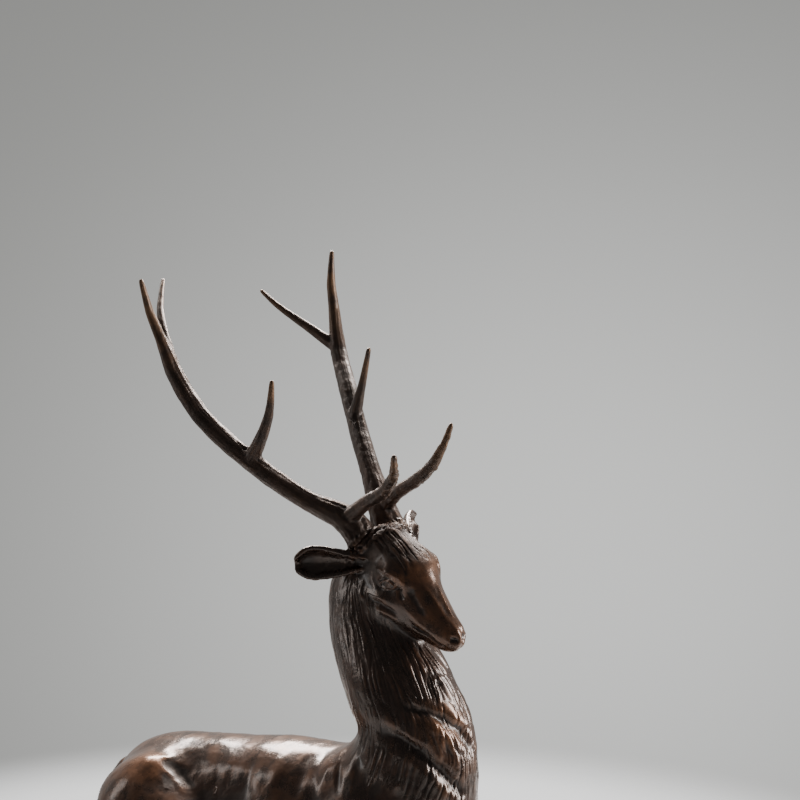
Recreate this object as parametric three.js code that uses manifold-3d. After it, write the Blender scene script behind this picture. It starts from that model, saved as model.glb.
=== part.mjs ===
// A recumbent stag in cast bronze: it lies with its legs folded on a low oval base, its neck raised,
// its head turned a little to its right and its antlers swept back. +X runs towards its chest, +Y to its
// left and +Z up. The origin is the middle of the base's underside. Lengths are in millimetres.
import * as THREE from "three";
import { mergeVertices } from "three/addons/utils/BufferGeometryUtils.js";
import Module from "manifold-3d";

const wasm = await Module();
wasm.setup();

// Driving dimensions
const STAG_HEIGHT = 1339;
const BASE_LENGTH = 1060;
const BASE_WIDTH = 500;
const BASE_THICKNESS = 40;
const BASE_EDGE_ROUND = 8;
const SEAT_GAP = 0.3;
const EAR_WALL = 8;

// The figure's proportions are written as they measure on a stag this tall, and scale with STAG_HEIGHT.
const DRAWN_HEIGHT = 1339;
const SCALE = STAG_HEIGHT / DRAWN_HEIGHT;

const bronze = new THREE.MeshStandardMaterial({
  name: "bronze",
  color: 0x3b2a21,
  roughness: 0.38,
  metalness: 1,
});
const baseBronze = new THREE.MeshStandardMaterial({
  name: "base_bronze",
  color: 0x2b211c,
  roughness: 0.5,
  metalness: 1,
});

const V = (x, y, z) => new THREE.Vector3(x, y, z);

// Signed distances: every form is a function of a point, negative inside
function softMin(a, b, blend) {
  const h = Math.max(blend - Math.abs(a - b), 0) / blend;
  return Math.min(a, b) - (h * h * blend) / 4;
}
const softMax = (a, b, blend) => -softMin(-a, -b, blend);

// An ellipsoid, turned by Euler angles in degrees
function mass(centre, radii, turn = [0, 0, 0]) {
  const [ex, ey, ez] = turn.map(THREE.MathUtils.degToRad);
  const back = new THREE.Matrix4().makeRotationFromEuler(new THREE.Euler(ex, ey, ez, "ZYX")).invert();
  const q = new THREE.Vector3();
  return (p) => {
    q.set(p.x - centre[0], p.y - centre[1], p.z - centre[2]).applyMatrix4(back);
    const k = Math.hypot(q.x / radii[0], q.y / radii[1], q.z / radii[2]);
    const g = Math.hypot(q.x / radii[0] ** 2, q.y / radii[1] ** 2, q.z / radii[2] ** 2);
    return g > 1e-9 ? (k * (k - 1)) / g : -Math.min(...radii);
  };
}

// A limb: a cone with round ends between two points
function limb(from, to, startRadius, endRadius) {
  const a = V(...from);
  const axis = V(...to).sub(a);
  const length = axis.length();
  axis.normalize();
  const slope = (startRadius - endRadius) / length;
  const lean = Math.sqrt(1 - slope * slope);
  const q = new THREE.Vector3();
  return (p) => {
    q.copy(p).sub(a);
    const along = q.dot(axis);
    const out = Math.sqrt(Math.max(q.lengthSq() - along * along, 0));
    const k = -slope * out + lean * along;
    if (k < 0) return Math.hypot(out, along) - startRadius;
    if (k > lean * length) return Math.hypot(out, along - length) - endRadius;
    return out * lean + along * slope - startRadius;
  };
}

// A run of limbs through stations [x, y, z, radius]
function chain(stations) {
  const parts = stations
    .slice(1)
    .map((s, i) => limb(stations[i].slice(0, 3), s.slice(0, 3), stations[i][3], s[3]));
  return (p) => Math.min(...parts.map((f) => f(p)));
}

// An upright column of oval sections, each [x, y, z, half depth, half width]
function column(sections) {
  const curve = (points) => new THREE.CatmullRomCurve3(points, false, "catmullrom");
  const middle = curve(sections.map((s) => V(s[0], s[1], s[2])));
  const halves = curve(sections.map((s) => V(s[3], s[4], s[2])));
  const steps = 4 * (sections.length - 1);
  const rows = Array.from({ length: steps + 1 }, (_, i) => {
    const c = middle.getPoint(i / steps);
    const h = halves.getPoint(i / steps);
    return [c.z, c.x, c.y, h.x, h.y];
  });
  const low = rows[0][0];
  const high = rows[steps][0];
  return (p) => {
    let i = 0;
    while (i < steps - 1 && rows[i + 1][0] < p.z) i++;
    const t = THREE.MathUtils.clamp((p.z - rows[i][0]) / (rows[i + 1][0] - rows[i][0]), 0, 1);
    const [, cx, cy, a, b] = rows[i].map((v, n) => v + (rows[i + 1][n] - v) * t);
    const dx = p.x - cx;
    const dy = p.y - cy;
    const k = Math.hypot(dx / a, dy / b);
    const g = Math.hypot(dx / a ** 2, dy / b ** 2);
    const side = g > 1e-9 ? (k * (k - 1)) / g : -Math.min(a, b);
    return Math.max(side, low - p.z, p.z - high);
  };
}

const joined = (blend, parts) => (p) => parts.map((f) => f(p)).reduce((a, b) => softMin(a, b, blend));
const both = (make) => [make(-1), make(1)];

// The head's own frame: forward to the nose, out to its left, and up off the brow
const EYES_MIDDLE = V(302, -30, 712);
const FORWARD = V(0.718, -0.163, -0.68).normalize();
const LEFT = V(0.418, 0.876, 0.23).addScaledVector(FORWARD, -0.0019).normalize();
const UP = new THREE.Vector3().crossVectors(FORWARD, LEFT).normalize();
LEFT.crossVectors(UP, FORWARD);
const headMatrix = new THREE.Matrix4().makeBasis(FORWARD, LEFT, UP).setPosition(EYES_MIDDLE);
const toHead = headMatrix.clone().invert();
const onHead = (a, l, u) => V(a, l, u).applyMatrix4(headMatrix);

// The head, drawn in its own frame and mirrored about its middle
const BURR = V(-101, 34, -17);
const PEDICLE_RADIUS = 28;
function headForm() {
  const bone = joined(22, [
    mass([-52, 0, -10], [54, 45, 42]),
    mass([-10, 0, 8], [58, 51, 34]),
    limb([18, 0, 0], [136, 0, -8], 40, 20),
    mass([150, 0, -10], [21, 19, 21]),
    limb([-4, 30, -80], [140, 3, -30], 37, 15),
    mass([-14, 38, -58], [50, 26, 52]),
    limb([12, 20, -36], [122, 5, -20], 38, 20),
    limb([-66, 20, -12], [BURR.x - 4, BURR.y, BURR.z], 25, PEDICLE_RADIUS),
  ]);
  const brow = mass([6, 39, 15], [27, 12, 12], [0, 0, -16]);
  const socket = mass([12, 60, -6], [24, 14, 12]);
  const eye = mass([5, 45, -6], [14, 9, 10]);
  const nostril = mass([163, 15, 3], [7, 7, 7]);
  const q = new THREE.Vector3();
  return (p) => {
    q.copy(p).applyMatrix4(toHead);
    q.y = Math.abs(q.y);
    let d = softMin(bone(q), brow(q), 12);
    d = softMax(d, -socket(q), 10);
    d = softMin(d, eye(q), 3);
    return softMax(d, -nostril(q), 6);
  };
}

// The neck and its mane
const neck = column([
  [236, 0, 40, 112, 96],
  [262, 0, 130, 134, 112],
  [276, 0, 225, 140, 116],
  [280, 0, 286, 134, 110],
  [288, -1, 340, 127, 104],
  [297, -2, 395, 115, 97],
  [299, -4, 423, 109, 93],
  [289, -5, 451, 113, 94],
  [277, -6, 479, 112, 92],
  [264, -7, 507, 111, 89],
  [252, -7, 535, 110, 82],
  [237, -6, 562, 106, 74],
  [220, -4, 590, 98, 66],
  [202, -2, 625, 85, 58],
  [193, -2, 674, 74, 52],
  [198, -4, 710, 62, 46],
  [208, -8, 745, 48, 42],
]);

const trunk = joined(64, [
  mass([110, 0, 180], [245, 136, 174]),
  mass([-90, 0, 188], [225, 126, 174]),
  mass([-262, 0, 176], [161, 118, 168]),
  mass([250, 0, 166], [122, 116, 162]),
  limb([160, 0, 280], [30, 0, 272], 76, 84),
]);

const haunch = (side) =>
  joined(40, [
    limb([-258, side * 80, 208], [-75, side * 124, 128], 114, 90),
    mass([-55, side * 136, 108], [58, 46, 68]),
    mass([-238, side * 102, 292], [34, 24, 22]),
  ]);
const shoulder = (side) =>
  joined(50, [
    limb([190, side * 52, 325], [312, side * 88, 175], 44, 62),
    limb([312, side * 92, 168], [200, side * 116, 84], 60, 52),
  ]);
// Hollows and creases that the modeller cut
const flankHollow = (side) => mass([-58, side * 156, 288], [88, 42, 46], [0, 24, 0]);
const thighCrease = (side) =>
  chain([
    [-192, side * 110, 318, 8],
    [-128, side * 132, 290, 15],
    [-66, side * 150, 238, 18],
    [-20, side * 164, 180, 12],
  ]);

// Folds of the skin across the turned side of the neck
const neckFolds = [
  chain([
    [327, -92, 480, 7],
    [365, -72, 469, 11],
    [388, -50, 455, 12],
    [405, -22, 428, 12],
    [411, -8, 406, 8],
  ]),
  chain([
    [291, -101, 434, 7],
    [323, -99, 422, 11],
    [356, -89, 402, 13],
    [379, -76, 379, 14],
    [396, -60, 358, 14],
    [410, -38, 331, 13],
  ]),
];

function stagForm() {
  const head = headForm();
  const haunches = both(haunch);
  const shoulders = both(shoulder);
  const hollows = both(flankHollow);
  const creases = both(thighCrease);
  return (p) => {
    let d = softMin(trunk(p), neck(p), 50);
    for (const f of shoulders) d = softMin(d, f(p), 34);
    for (const f of haunches) d = softMin(d, f(p), 26);
    for (const f of hollows) d = softMax(d, -f(p), 40);
    for (const f of creases) d = softMax(d, -f(p), 24);
    for (const f of neckFolds) d = softMax(d, -f(p), 12);
    return softMin(d, head(p), 26);
  };
}

// Grid lines, evenly spaced inside each stretch [from, to, spacing]
function gridLines(...stretches) {
  const lines = [stretches[0][0]];
  for (const [from, to, spacing] of stretches) {
    const n = Math.round((to - from) / spacing);
    for (let i = 1; i <= n; i++) lines.push(from + ((to - from) * i) / n);
  }
  return lines;
}

// The step that takes a point on to the surface, never longer than the reach
function ontoSurface(form, p, reach) {
  const g = V(
    form(V(p.x + 0.5, p.y, p.z)) - form(V(p.x - 0.5, p.y, p.z)),
    form(V(p.x, p.y + 0.5, p.z)) - form(V(p.x, p.y - 0.5, p.z)),
    form(V(p.x, p.y, p.z + 0.5)) - form(V(p.x, p.y, p.z - 0.5)),
  );
  const off = form(p) / Math.max(g.lengthSq(), 0.25);
  return g.multiplyScalar(-THREE.MathUtils.clamp(off, -reach, reach));
}

// Surface nets: one vertex in each cell that the surface crosses, one quad round each crossed grid edge
function skin(form, xs, ys, zs) {
  const [nx, ny, nz] = [xs.length, ys.length, zs.length];
  const at = (i, j, k) => (i * ny + j) * nz + k;
  const values = new Float64Array(nx * ny * nz);
  const p = new THREE.Vector3();
  for (let i = 0; i < nx; i++)
    for (let j = 0; j < ny; j++)
      for (let k = 0; k < nz; k++) values[at(i, j, k)] = form(p.set(xs[i], ys[j], zs[k]));

  const corners = [0, 1, 2, 3, 4, 5, 6, 7].map((c) => [c & 1, (c >> 1) & 1, c >> 2]);
  const edges = corners.flatMap((_, m) => [1, 2, 4].filter((bit) => !(m & bit)).map((bit) => [m, m | bit]));
  const edgeOf = new Map(edges.map(([m, n], e) => [m * 8 + n, e]));
  const faces = [1, 2, 4].flatMap((bit) =>
    [0, bit].map((side) => {
      const [u, v] = [1, 2, 4].filter((other) => other !== bit);
      const ring = [side, side | u, side | u | v, side | v];
      return ring.map((c, n) => {
        const next = ring[(n + 1) % 4];
        return { corner: c, edge: edgeOf.get(Math.min(c, next) * 8 + Math.max(c, next)) };
      });
    }),
  );

  // A cell that two sheets of the surface pass through gets a vertex for each
  const positions = [];
  const vertexOf = new Map();
  for (let i = 0; i < nx - 1; i++)
    for (let j = 0; j < ny - 1; j++)
      for (let k = 0; k < nz - 1; k++) {
        const value = corners.map(([a, b, c]) => values[at(i + a, j + b, k + c)]);
        const crossed = edges.map(([m, n]) => value[m] < 0 !== value[n] < 0);
        if (!crossed.includes(true)) continue;
        const sheet = edges.map((_, e) => e);
        const link = (e, f) => {
          const [from, to] = [sheet[e], sheet[f]];
          sheet.forEach((s, n) => {
            if (s === from) sheet[n] = to;
          });
        };
        for (const face of faces) {
          const cut = face.filter(({ edge }) => crossed[edge]);
          if (cut.length === 2) link(cut[0].edge, cut[1].edge);
          if (cut.length === 4)
            face.forEach(({ corner, edge }, n) => {
              if (value[corner] < 0) link(edge, face[(n + 3) % 4].edge);
            });
        }
        const cell = Math.min(xs[i + 1] - xs[i], ys[j + 1] - ys[j], zs[k + 1] - zs[k]);
        for (const id of new Set(sheet.filter((_, e) => crossed[e]))) {
          const sum = new THREE.Vector3();
          let count = 0;
          edges.forEach(([m, n], e) => {
            if (!crossed[e] || sheet[e] !== id) return;
            const t = value[m] / (value[m] - value[n]);
            const [a, b] = [corners[m], corners[n]];
            sum.x += xs[i + a[0]] + (xs[i + b[0]] - xs[i + a[0]]) * t;
            sum.y += ys[j + a[1]] + (ys[j + b[1]] - ys[j + a[1]]) * t;
            sum.z += zs[k + a[2]] + (zs[k + b[2]] - zs[k + a[2]]) * t;
            count++;
            vertexOf.set(at(i, j, k) * 12 + e, positions.length / 3);
          });
          sum.divideScalar(count);
          sum.add(ontoSurface(form, sum, cell / 3));
          positions.push(sum.x, sum.y, sum.z);
        }
      }

  const index = [];
  const point = (n) => V(positions[3 * n], positions[3 * n + 1], positions[3 * n + 2]);
  const axes = [1, 2, 4];
  for (let i = 1; i < nx - 1; i++)
    for (let j = 1; j < ny - 1; j++)
      for (let k = 1; k < nz - 1; k++)
        axes.forEach((bit, n) => {
          const here = values[at(i, j, k)] < 0;
          const there = values[at(i + corners[bit][0], j + corners[bit][1], k + corners[bit][2])] < 0;
          if (here === there) return;
          const [u, v] = [axes[(n + 1) % 3], axes[(n + 2) % 3]];
          const [a, b, c, d] = [0, u, u | v, v].map((back) => {
            const [di, dj, dk] = corners[back];
            return vertexOf.get(at(i - di, j - dj, k - dk) * 12 + edgeOf.get(back * 8 + (back | bit)));
          });
          const ring = here ? [a, b, c, d] : [d, c, b, a];
          const [p0, p1, p2, p3] = ring.map(point);
          if (p0.distanceTo(p2) > p1.distanceTo(p3)) ring.push(ring.shift());
          index.push(ring[0], ring[1], ring[2], ring[0], ring[2], ring[3]);
        });
  return new THREE.BufferGeometry()
    .setAttribute("position", new THREE.Float32BufferAttribute(positions, 3))
    .setIndex(index);
}

// Merges the edges that shape the surface least, until no more than the wanted number of faces is left
function thinned(geometry, form, wanted) {
  const position = geometry.getAttribute("position");
  const points = Array.from({ length: position.count }, (_, i) => V().fromBufferAttribute(position, i));
  const faces = new Map();
  const around = points.map(() => new Set());
  for (let f = 0; f < geometry.index.count; f += 3) {
    const face = [0, 1, 2].map((c) => geometry.index.getX(f + c));
    faces.set(f, face);
    for (const v of face) around[v].add(f);
  }
  const normalOf = ([a, b, c]) =>
    new THREE.Vector3().crossVectors(points[b].clone().sub(points[a]), points[c].clone().sub(points[a]));
  const planes = points.map(() => new Float64Array(10));
  for (const face of faces.values()) {
    const n = normalOf(face);
    const area = n.length();
    n.divideScalar(area || 1);
    const v = [n.x, n.y, n.z, -n.dot(points[face[0]])];
    let slot = 0;
    for (let r = 0; r < 4; r++)
      for (let c = r; c < 4; c++, slot++)
        for (const corner of face) planes[corner][slot] += area * v[r] * v[c] * (r === c ? 1 : 2);
  }
  const strain = (a, b, p) => {
    const v = [p.x, p.y, p.z, 1];
    let total = 0;
    let slot = 0;
    for (let r = 0; r < 4; r++)
      for (let c = r; c < 4; c++, slot++) total += (planes[a][slot] + planes[b][slot]) * v[r] * v[c];
    return total;
  };
  const neighbours = (v) => new Set([...around[v]].flatMap((f) => faces.get(f)).filter((n) => n !== v));
  const turns = (v, other, place) => {
    const before = [...around[v]].map((f) => faces.get(f)).filter((face) => !face.includes(other));
    const old = before.map(normalOf);
    const kept = points[v];
    points[v] = place;
    const bad = before.some((face, n) => {
      const now = normalOf(face);
      return now.dot(old[n]) < 0.3 * now.length() * old[n].length() || now.length() < 6;
    });
    points[v] = kept;
    return bad;
  };
  while (faces.size > wanted) {
    const edges = [];
    for (const [a, b, c] of faces.values())
      for (const [m, n] of [[a, b], [b, c], [c, a]])
        if (m < n) {
          const place = points[m].clone().lerp(points[n], 0.5);
          edges.push({ m, n, place, cost: strain(m, n, place) + 2 * points[m].distanceToSquared(points[n]) });
        }
    edges.sort((e, f) => e.cost - f.cost);
    const touched = new Set();
    const before = faces.size;
    for (const { m, n, place } of edges.slice(0, edges.length / 4)) {
      if (faces.size <= wanted) break;
      if (touched.has(m) || touched.has(n)) continue;
      const [nearM, nearN] = [neighbours(m), neighbours(n)];
      if ([...nearM].filter((v) => nearN.has(v)).length !== 2) continue;
      place.add(ontoSurface(form, place, 3));
      if (turns(m, n, place) || turns(n, m, place)) continue;
      points[m] = place;
      for (const f of [...around[n]]) {
        const face = faces.get(f);
        if (face.includes(m)) {
          faces.delete(f);
          for (const v of face) around[v].delete(f);
        } else {
          face[face.indexOf(n)] = m;
          around[m].add(f);
        }
      }
      planes[n].forEach((value, slot) => (planes[m][slot] += value));
      for (const v of [m, n, ...nearM, ...nearN]) touched.add(v);
    }
    if (faces.size === before) break;
  }
  const used = [...new Set([...faces.values()].flat())];
  const renamed = new Map(used.map((v, i) => [v, i]));
  return new THREE.BufferGeometry()
    .setAttribute("position", new THREE.Float32BufferAttribute(used.flatMap((v) => [...points[v]]), 3))
    .setIndex([...faces.values()].flat().map((v) => renamed.get(v)));
}

// A round tube through stations [x, y, z, radius], closed at both ends
function tube(stations, spacing, sides) {
  const curve = new THREE.CatmullRomCurve3(stations.map((s) => V(s[0], s[1], s[2])));
  const last = stations.length - 1;
  const rings = [];
  for (let i = 0; i < last; i++) {
    const gap = V(...stations[i]).distanceTo(V(...stations[i + 1]));
    const n = Math.max(1, Math.round(gap / spacing));
    for (let k = 0; k < n; k++) rings.push(i + k / n);
  }
  rings.push(last);
  const positions = [];
  const normal = new THREE.Vector3();
  rings.forEach((place) => {
    const i = Math.min(Math.floor(place), last - 1);
    const r = THREE.MathUtils.lerp(stations[i][3], stations[i + 1][3], place - i);
    const centre = curve.getPoint(place / last);
    const tangent = curve.getTangent(place / last);
    if (!positions.length) normal.set(0.3, 0.5, 0.8);
    normal.addScaledVector(tangent, -normal.dot(tangent)).normalize();
    const side = new THREE.Vector3().crossVectors(tangent, normal);
    for (let s = 0; s < sides; s++) {
      const angle = (s / sides) * 2 * Math.PI;
      const v = centre
        .clone()
        .addScaledVector(normal, r * Math.cos(angle))
        .addScaledVector(side, r * Math.sin(angle));
      positions.push(v.x, v.y, v.z);
    }
  });
  const index = [];
  for (let i = 0; i < rings.length - 1; i++)
    for (let s = 0; s < sides; s++) {
      const [a, b] = [i * sides + s, i * sides + ((s + 1) % sides)];
      index.push(a, b, b + sides, a, b + sides, a + sides);
    }
  const start = curve.getPoint(0).addScaledVector(curve.getTangent(0), -stations[0][3] * 0.6);
  const end = curve.getPoint(1).addScaledVector(curve.getTangent(1), stations[last][3] * 0.8);
  positions.push(start.x, start.y, start.z, end.x, end.y, end.z);
  const centre = rings.length * sides;
  for (let s = 0; s < sides; s++) {
    const next = (s + 1) % sides;
    index.push(centre, next, s, centre + 1, centre - sides + s, centre - sides + next);
  }
  return solidOf(
    new THREE.BufferGeometry()
      .setAttribute("position", new THREE.Float32BufferAttribute(positions, 3))
      .setIndex(index),
  );
}

// manifold-3d joins and cuts closed meshes
function solidOf(geometry) {
  const plain = new THREE.BufferGeometry().setAttribute("position", geometry.getAttribute("position"));
  if (geometry.index) plain.setIndex(geometry.index);
  const merged = mergeVertices(plain.index ? plain.toNonIndexed() : plain, 1e-4);
  return new wasm.Manifold(
    new wasm.Mesh({
      numProp: 3,
      vertProperties: merged.attributes.position.array,
      triVerts: new Uint32Array(merged.index.array),
    }),
  );
}
function geometryOf(solid) {
  const mesh = solid.getMesh();
  return new THREE.BufferGeometry()
    .setAttribute("position", new THREE.BufferAttribute(mesh.vertProperties, 3))
    .setIndex(new THREE.BufferAttribute(mesh.triVerts, 1));
}

// An ear: a leaf-shaped cup, rolled almost shut at its root and open at its tip
function ear(root, along, facing, length) {
  const rows = 8;
  const columns = 7;
  const across = new THREE.Vector3().crossVectors(along, facing).normalize();
  const face = new THREE.Vector3().crossVectors(across, along).normalize();
  const sheet = (offset) => {
    const points = [];
    for (let i = 0; i <= rows; i++) {
      const s = i / rows;
      const spread = 12 + 22 * THREE.MathUtils.smoothstep(s, 0, 0.8);
      const radius = spread * Math.sqrt(Math.max(1 - Math.max((s - 0.72) / 0.3, 0) ** 2, 0.03));
      const open = THREE.MathUtils.degToRad(140 - 62 * Math.min(s / 0.6, 1));
      for (let j = 0; j <= columns; j++) {
        const angle = -open + (2 * open * j) / columns;
        const r = Math.max(radius + offset, 0.8);
        points.push(
          root
            .clone()
            .addScaledVector(along, length * s)
            .addScaledVector(across, r * Math.sin(angle))
            .addScaledVector(face, -r * Math.cos(angle) * 0.8),
        );
      }
    }
    return points;
  };
  const points = [...sheet(EAR_WALL / 2), ...sheet(-EAR_WALL / 2)];
  const inner = (rows + 1) * (columns + 1);
  const id = (i, j) => i * (columns + 1) + j;
  const index = [];
  const quad = (a, b, c, d) => index.push(a, b, c, a, c, d);
  for (let i = 0; i < rows; i++)
    for (let j = 0; j < columns; j++) {
      quad(id(i, j), id(i + 1, j), id(i + 1, j + 1), id(i, j + 1));
      quad(inner + id(i, j + 1), inner + id(i + 1, j + 1), inner + id(i + 1, j), inner + id(i, j));
    }
  for (let i = 0; i < rows; i++) {
    quad(id(i, 0), inner + id(i, 0), inner + id(i + 1, 0), id(i + 1, 0));
    quad(id(i + 1, columns), inner + id(i + 1, columns), inner + id(i, columns), id(i, columns));
  }
  for (let j = 0; j < columns; j++) {
    quad(id(0, j + 1), inner + id(0, j + 1), inner + id(0, j), id(0, j));
    quad(id(rows, j), inner + id(rows, j), inner + id(rows, j + 1), id(rows, j + 1));
  }
  return solidOf(
    new THREE.BufferGeometry()
      .setAttribute("position", new THREE.Float32BufferAttribute(points.flatMap((p) => [...p]), 3))
      .setIndex(index),
  );
}

// Antlers: a beam and three tines each, stations [forward, left, up, radius] in the head's frame
const antlers = {
  right: [
    [
      [-104, -34, -16, 29], [-130, -36, -5, 31], [-162, -52, 3, 26], [-218, -84, -7, 20],
      [-352, -138, -12, 19.5], [-483, -179, 0, 19], [-584, -191, 31, 17],
      [-635, -195, 64, 11.5], [-680, -205, 103, 9], [-711, -216, 160, 5],
    ],
    [
      [-150, -46, 2, 18], [-127, -38, 72, 14.5], [-98, -35, 133, 12.5], [-80, -45, 197, 10],
      [-78, -66, 258, 5.5],
    ],
    [[-353, -138, -12, 18], [-352, -129, 30, 14], [-361, -116, 99, 9.5], [-382, -113, 165, 5]],
    [[-582, -191, 32, 15], [-650, -180, 58, 11], [-727, -151, 58, 7.5], [-805, -104, 56, 4.5]],
  ],
  left: [
    [
      [-104, 34, -18, 29], [-132, 35, -8, 30], [-173, 41, 5, 25], [-223, 57, 9, 21],
      [-296, 82, 10, 20], [-429, 132, 14, 19.5],
      [-540, 176, 16, 17.5], [-616, 201, 57, 12], [-653, 206, 94, 10], [-692, 217, 150, 5],
    ],
    [
      [-150, 38, 4, 17], [-131, 36, 65, 14.5], [-105, 39, 121, 13], [-85, 47, 185, 11.5], [-87, 58, 233, 8],
      [-97, 67, 273, 5],
    ],
    [[-360, 103, 8, 15], [-368, 105, 45, 12], [-376, 108, 92, 8.5], [-394, 112, 172, 5]],
    [[-551, 180, 14, 14], [-635, 151, 11, 10], [-712, 122, 11, 6.5], [-754, 111, 15, 4.5]],
  ],
};
const BURR_RADIUS = 32;
const BURR_DEPTH = 16;

function antler(branches, side) {
  const burr = new THREE.LatheGeometry(
    [[0, 0], [28, 0], [BURR_RADIUS, 5], [BURR_RADIUS - 1, 10], [25, BURR_DEPTH], [0, BURR_DEPTH]].map(
      ([r, y]) => new THREE.Vector2(r, y),
    ),
    14,
  );
  const made = branches
    .map((stations, n) => tube(stations.map(([a, l, u, r]) => [...onHead(a, l, u), r]), 45, n ? 6 : 8))
    .concat(solidOf(onBurrAxis(burr, side, SEAT_GAP / SCALE)))
    .reduce((a, b) => a.add(b));
  const below = new THREE.CylinderGeometry(BURR_RADIUS + 6, BURR_RADIUS + 6, 80, 24).translate(0, -40, 0);
  return made.subtract(solidOf(onBurrAxis(below, side, SEAT_GAP / SCALE)));
}

// Stands a shape drawn along +Y on a pedicle's seat, lifted along the way the antler leaves the head
function onBurrAxis(geometry, side, lift) {
  const seat = onHead(BURR.x, side * BURR.y, BURR.z);
  const direction = onHead(BURR.x - 100, side * (BURR.y + 30), BURR.z + 15).sub(seat).normalize();
  geometry.applyQuaternion(new THREE.Quaternion().setFromUnitVectors(V(0, 1, 0), direction));
  return geometry.translate(...seat.addScaledVector(direction, lift));
}

const TAIL = [[-380, 0, 262, 30], [-426, 0, 214, 27], [-440, 0, 150, 17], [-437, 0, 108, 9]];

// Lower legs, folded: stations [x, y, z, radius] of the left ones, knee or hock in the middle
const FORE_LEG = [
  [205, 118, 66, 44], [310, 110, 54, 37], [380, 98, 44, 30], [410, 95, 41, 31], [424, 92, 30, 24],
  [400, 86, 20, 18], [320, 80, 18, 16], [262, 78, 18, 18], [236, 77, 15, 18], [206, 76, 8, 15],
];
const HIND_LEG = [
  [-70, 140, 88, 50], [-190, 146, 68, 43], [-290, 140, 54, 34], [-338, 135, 50, 35], [-356, 135, 38, 27],
  [-330, 142, 24, 20], [-230, 158, 20, 17], [-140, 168, 20, 19], [-110, 170, 17, 19], [-78, 172, 9, 15],
];

// Where each ear points and where its cup opens, in the head's frame with its own side as left
const RIGHT_EAR = [[-0.52, 0.8, -0.32], [0.74, 0.63, 0.43]];
const LEFT_EAR = [[-0.58, 0.72, -0.37], [0.66, 0.6, 0.56]];

const SKIN_FACES = 5620;

function stag() {
  const form = stagForm();
  const fine = skin(
    (p) => Math.max(form(p), -24 - p.z),
    gridLines([-480, 96, 18], [96, 480, 12]),
    gridLines([-238, -126, 16], [-126, 90, 12], [90, 234, 16]),
    gridLines([-60, 300, 18], [300, 552, 12], [552, 840, 11]),
  );
  const parts = [solidOf(thinned(fine, form, SKIN_FACES))];
  for (const side of [-1, 1]) {
    const turned = (a, l, u) => V(a, l * side, u).transformDirection(headMatrix);
    const [along, facing] = side < 0 ? RIGHT_EAR : LEFT_EAR;
    parts.push(ear(onHead(-60, side * 44, -20), turned(...along), turned(...facing), 140));
    for (const leg of [FORE_LEG, HIND_LEG])
      parts.push(tube(leg.map(([x, y, z, r]) => [x, side * y, z, r]), 90, 8));
  }
  parts.push(tube(TAIL, 60, 8));
  let made = parts.reduce((a, b) => a.add(b));
  for (const side of [-1, 1]) {
    const above = new THREE.CylinderGeometry(BURR_RADIUS + 6, BURR_RADIUS + 6, 40, 24).translate(0, 20, 0);
    made = made.subtract(solidOf(onBurrAxis(above, side, 0)));
  }
  const ground = new THREE.BoxGeometry(1400, 800, 200).translate(0, 0, -100);
  return made.subtract(solidOf(ground));
}

function base() {
  const outline = new THREE.Shape();
  const [half, halfAcross] = [BASE_LENGTH, BASE_WIDTH].map((size) => size / 2 - BASE_EDGE_ROUND);
  outline.absellipse(0, 0, half, halfAcross, 0, 2 * Math.PI);
  const slab = new THREE.ExtrudeGeometry(outline, {
    depth: BASE_THICKNESS - 2 * BASE_EDGE_ROUND,
    bevelThickness: BASE_EDGE_ROUND,
    bevelSize: BASE_EDGE_ROUND,
    bevelSegments: 1,
    curveSegments: 20,
  });
  return slab.translate(0, 0, BASE_EDGE_ROUND);
}

const sculpture = new THREE.Group();
const figure = new THREE.Group();
figure.position.z = BASE_THICKNESS + SEAT_GAP;
figure.scale.setScalar(SCALE);
sculpture.add(figure);

function place(parent, name, geometry, material) {
  const mesh = new THREE.Mesh(geometry, material);
  mesh.name = name;
  parent.add(mesh);
}
place(figure, "stag", geometryOf(stag()), bronze);
place(figure, "right_antler", geometryOf(antler(antlers.right, -1)), bronze);
place(figure, "left_antler", geometryOf(antler(antlers.left, 1)), bronze);
place(sculpture, "base", base(), baseBronze);

export default sculpture;
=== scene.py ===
import itertools
import math

import bmesh
import bpy
import numpy as np
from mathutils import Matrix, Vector
from mathutils.bvhtree import BVHTree


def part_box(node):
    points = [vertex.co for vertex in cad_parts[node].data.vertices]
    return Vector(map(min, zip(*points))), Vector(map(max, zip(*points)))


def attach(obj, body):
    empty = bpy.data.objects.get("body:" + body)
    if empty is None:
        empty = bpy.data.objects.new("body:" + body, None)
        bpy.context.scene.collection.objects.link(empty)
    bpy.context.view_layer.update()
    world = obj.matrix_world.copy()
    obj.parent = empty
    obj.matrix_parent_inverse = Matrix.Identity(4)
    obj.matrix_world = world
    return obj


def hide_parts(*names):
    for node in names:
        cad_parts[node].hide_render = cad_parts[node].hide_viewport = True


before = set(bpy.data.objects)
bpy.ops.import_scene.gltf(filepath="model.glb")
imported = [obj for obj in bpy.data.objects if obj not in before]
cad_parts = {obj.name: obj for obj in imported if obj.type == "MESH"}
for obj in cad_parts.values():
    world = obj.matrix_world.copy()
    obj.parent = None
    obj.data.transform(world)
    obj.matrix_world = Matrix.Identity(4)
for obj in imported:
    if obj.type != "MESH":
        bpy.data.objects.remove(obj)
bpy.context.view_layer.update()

# The figure is worked in drawn millimetres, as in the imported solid: 0 is the plane it lies on,
# and this is how high the stag reaches without its antlers
DRAWN_TOP = 816.0
stag_low, stag_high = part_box("stag")
MM = (stag_high.z - stag_low.z) / DRAWN_TOP
GROUND = np.array([0, 0, stag_low.z])


def to_drawn(points):
    return (points - GROUND) / MM


def to_world(points):
    return points * MM + GROUND


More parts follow.
